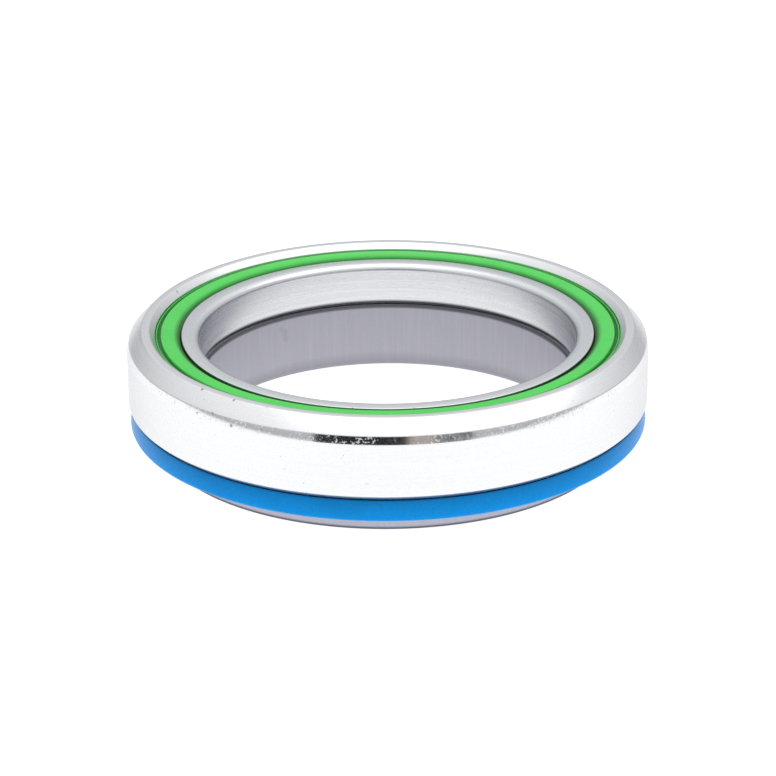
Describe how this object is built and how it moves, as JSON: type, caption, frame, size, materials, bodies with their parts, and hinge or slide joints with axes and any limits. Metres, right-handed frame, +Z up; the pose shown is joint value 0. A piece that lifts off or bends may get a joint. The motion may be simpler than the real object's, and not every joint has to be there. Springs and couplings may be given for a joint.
{
  "type": "headset lower bearing with crown race",
  "caption": "Sealed angular contact steering bearing with 45 degree seats, standing on a crown race that has a rubber seal.",
  "frame": {"origin": "centre of the crown race's foot, on the steering axis", "axes": "+Z up the steering axis, from the fork's crown to the head tube"},
  "size_m": [0.0418, 0.0418, 0.0097],
  "materials": {
    "outer_ring_steel": "fine ground",
    "inner_ring_steel": "brushed",
    "ball_steel": "polished",
    "cage_nylon": "moulded",
    "green_rubber": "satin",
    "race_alloy": "satin",
    "blue_rubber": "satin"
  },
  "bodies": {
    "race": {"crown_race": "race_alloy", "inner_ring": "inner_ring_steel", "crown_race_seal": "blue_rubber"},
    "outer": {"outer_ring": "outer_ring_steel", "upper_seal": "green_rubber", "lower_seal": "green_rubber"},
    "cage": {"ball_cage": "cage_nylon"},
    "rolling_ball_01": {"ball_01": "ball_steel"},
    "rolling_ball_02": {"ball_02": "ball_steel"},
    "rolling_ball_03": {"ball_03": "ball_steel"},
    "rolling_ball_04": {"ball_04": "ball_steel"},
    "rolling_ball_05": {"ball_05": "ball_steel"},
    "rolling_ball_06": {"ball_06": "ball_steel"},
    "rolling_ball_07": {"ball_07": "ball_steel"},
    "rolling_ball_08": {"ball_08": "ball_steel"},
    "rolling_ball_09": {"ball_09": "ball_steel"},
    "rolling_ball_10": {"ball_10": "ball_steel"},
    "rolling_ball_11": {"ball_11": "ball_steel"},
    "rolling_ball_12": {"ball_12": "ball_steel"},
    "rolling_ball_13": {"ball_13": "ball_steel"},
    "rolling_ball_14": {"ball_14": "ball_steel"},
    "rolling_ball_15": {"ball_15": "ball_steel"},
    "rolling_ball_16": {"ball_16": "ball_steel"},
    "rolling_ball_17": {"ball_17": "ball_steel"},
    "rolling_ball_18": {"ball_18": "ball_steel"},
    "rolling_ball_19": {"ball_19": "ball_steel"},
    "rolling_ball_20": {"ball_20": "ball_steel"},
    "rolling_ball_21": {"ball_21": "ball_steel"},
    "rolling_ball_22": {"ball_22": "ball_steel"},
    "rolling_ball_23": {"ball_23": "ball_steel"},
    "rolling_ball_24": {"ball_24": "ball_steel"}
  },
  "joints": [
    {"name": "bearing_spin", "type": "hinge", "parent": "race", "child": "outer", "pos_m": [0, 0, 0.0063], "axis": [0, 0, 1], "continuous": true},
    {"name": "cage_spin", "type": "hinge", "parent": "race", "child": "cage", "pos_m": [0, 0, 0.0063], "axis": [0, 0, 1], "continuous": true},
    {"name": "ball_01_roll", "type": "hinge", "parent": "cage", "child": "rolling_ball_01", "pos_m": [0.01799, 0, 0.0063], "axis": [-0.7071, 0, 0.7071], "continuous": true},
    {"name": "ball_02_roll", "type": "hinge", "parent": "cage", "child": "rolling_ball_02", "pos_m": [0.01737, 0.00466, 0.0063], "axis": [-0.683, -0.183, 0.7071], "continuous": true},
    {"name": "ball_03_roll", "type": "hinge", "parent": "cage", "child": "rolling_ball_03", "pos_m": [0.01558, 0.00899, 0.0063], "axis": [-0.6124, -0.3536, 0.7071], "continuous": true},
    {"name": "ball_04_roll", "type": "hinge", "parent": "cage", "child": "rolling_ball_04", "pos_m": [0.01272, 0.01272, 0.0063], "axis": [-0.5, -0.5, 0.7071], "continuous": true},
    {"name": "ball_05_roll", "type": "hinge", "parent": "cage", "child": "rolling_ball_05", "pos_m": [0.00899, 0.01558, 0.0063], "axis": [-0.3536, -0.6124, 0.7071], "continuous": true},
    {"name": "ball_06_roll", "type": "hinge", "parent": "cage", "child": "rolling_ball_06", "pos_m": [0.00466, 0.01737, 0.0063], "axis": [-0.183, -0.683, 0.7071], "continuous": true},
    {"name": "ball_07_roll", "type": "hinge", "parent": "cage", "child": "rolling_ball_07", "pos_m": [0, 0.01799, 0.0063], "axis": [0, -0.7071, 0.7071], "continuous": true},
    {"name": "ball_08_roll", "type": "hinge", "parent": "cage", "child": "rolling_ball_08", "pos_m": [-0.00466, 0.01737, 0.0063], "axis": [0.183, -0.683, 0.7071], "continuous": true},
    {"name": "ball_09_roll", "type": "hinge", "parent": "cage", "child": "rolling_ball_09", "pos_m": [-0.00899, 0.01558, 0.0063], "axis": [0.3536, -0.6124, 0.7071], "continuous": true},
    {"name": "ball_10_roll", "type": "hinge", "parent": "cage", "child": "rolling_ball_10", "pos_m": [-0.01272, 0.01272, 0.0063], "axis": [0.5, -0.5, 0.7071], "continuous": true},
    {"name": "ball_11_roll", "type": "hinge", "parent": "cage", "child": "rolling_ball_11", "pos_m": [-0.01558, 0.00899, 0.0063], "axis": [0.6124, -0.3536, 0.7071], "continuous": true},
    {"name": "ball_12_roll", "type": "hinge", "parent": "cage", "child": "rolling_ball_12", "pos_m": [-0.01737, 0.00466, 0.0063], "axis": [0.683, -0.183, 0.7071], "continuous": true},
    {"name": "ball_13_roll", "type": "hinge", "parent": "cage", "child": "rolling_ball_13", "pos_m": [-0.01799, 0, 0.0063], "axis": [0.7071, 0, 0.7071], "continuous": true},
    {"name": "ball_14_roll", "type": "hinge", "parent": "cage", "child": "rolling_ball_14", "pos_m": [-0.01737, -0.00466, 0.0063], "axis": [0.683, 0.183, 0.7071], "continuous": true},
    {"name": "ball_15_roll", "type": "hinge", "parent": "cage", "child": "rolling_ball_15", "pos_m": [-0.01558, -0.00899, 0.0063], "axis": [0.6124, 0.3536, 0.7071], "continuous": true},
    {"name": "ball_16_roll", "type": "hinge", "parent": "cage", "child": "rolling_ball_16", "pos_m": [-0.01272, -0.01272, 0.0063], "axis": [0.5, 0.5, 0.7071], "continuous": true},
    {"name": "ball_17_roll", "type": "hinge", "parent": "cage", "child": "rolling_ball_17", "pos_m": [-0.00899, -0.01558, 0.0063], "axis": [0.3536, 0.6124, 0.7071], "continuous": true},
    {"name": "ball_18_roll", "type": "hinge", "parent": "cage", "child": "rolling_ball_18", "pos_m": [-0.00466, -0.01737, 0.0063], "axis": [0.183, 0.683, 0.7071], "continuous": true},
    {"name": "ball_19_roll", "type": "hinge", "parent": "cage", "child": "rolling_ball_19", "pos_m": [0, -0.01799, 0.0063], "axis": [0, 0.7071, 0.7071], "continuous": true},
    {"name": "ball_20_roll", "type": "hinge", "parent": "cage", "child": "rolling_ball_20", "pos_m": [0.00466, -0.01737, 0.0063], "axis": [-0.183, 0.683, 0.7071], "continuous": true},
    {"name": "ball_21_roll", "type": "hinge", "parent": "cage", "child": "rolling_ball_21", "pos_m": [0.00899, -0.01558, 0.0063], "axis": [-0.3536, 0.6124, 0.7071], "continuous": true},
    {"name": "ball_22_roll", "type": "hinge", "parent": "cage", "child": "rolling_ball_22", "pos_m": [0.01272, -0.01272, 0.0063], "axis": [-0.5, 0.5, 0.7071], "continuous": true},
    {"name": "ball_23_roll", "type": "hinge", "parent": "cage", "child": "rolling_ball_23", "pos_m": [0.01558, -0.00899, 0.0063], "axis": [-0.6124, 0.3536, 0.7071], "continuous": true},
    {"name": "ball_24_roll", "type": "hinge", "parent": "cage", "child": "rolling_ball_24", "pos_m": [0.01737, -0.00466, 0.0063], "axis": [-0.683, 0.183, 0.7071], "continuous": true}
  ],
  "couplings": [
    {"joint": "cage_spin", "follows": "bearing_spin", "ratio": 0.5312},
    {"joint": "ball_01_roll", "follows": "bearing_spin", "ratio": 5.6433},
    {"joint": "ball_02_roll", "follows": "bearing_spin", "ratio": 5.6433},
    {"joint": "ball_03_roll", "follows": "bearing_spin", "ratio": 5.6433},
    {"joint": "ball_04_roll", "follows": "bearing_spin", "ratio": 5.6433},
    {"joint": "ball_05_roll", "follows": "bearing_spin", "ratio": 5.6433},
    {"joint": "ball_06_roll", "follows": "bearing_spin", "ratio": 5.6433},
    {"joint": "ball_07_roll", "follows": "bearing_spin", "ratio": 5.6433},
    {"joint": "ball_08_roll", "follows": "bearing_spin", "ratio": 5.6433},
    {"joint": "ball_09_roll", "follows": "bearing_spin", "ratio": 5.6433},
    {"joint": "ball_10_roll", "follows": "bearing_spin", "ratio": 5.6433},
    {"joint": "ball_11_roll", "follows": "bearing_spin", "ratio": 5.6433},
    {"joint": "ball_12_roll", "follows": "bearing_spin", "ratio": 5.6433},
    {"joint": "ball_13_roll", "follows": "bearing_spin", "ratio": 5.6433},
    {"joint": "ball_14_roll", "follows": "bearing_spin", "ratio": 5.6433},
    {"joint": "ball_15_roll", "follows": "bearing_spin", "ratio": 5.6433},
    {"joint": "ball_16_roll", "follows": "bearing_spin", "ratio": 5.6433},
    {"joint": "ball_17_roll", "follows": "bearing_spin", "ratio": 5.6433},
    {"joint": "ball_18_roll", "follows": "bearing_spin", "ratio": 5.6433},
    {"joint": "ball_19_roll", "follows": "bearing_spin", "ratio": 5.6433},
    {"joint": "ball_20_roll", "follows": "bearing_spin", "ratio": 5.6433},
    {"joint": "ball_21_roll", "follows": "bearing_spin", "ratio": 5.6433},
    {"joint": "ball_22_roll", "follows": "bearing_spin", "ratio": 5.6433},
    {"joint": "ball_23_roll", "follows": "bearing_spin", "ratio": 5.6433},
    {"joint": "ball_24_roll", "follows": "bearing_spin", "ratio": 5.6433}
  ]
}
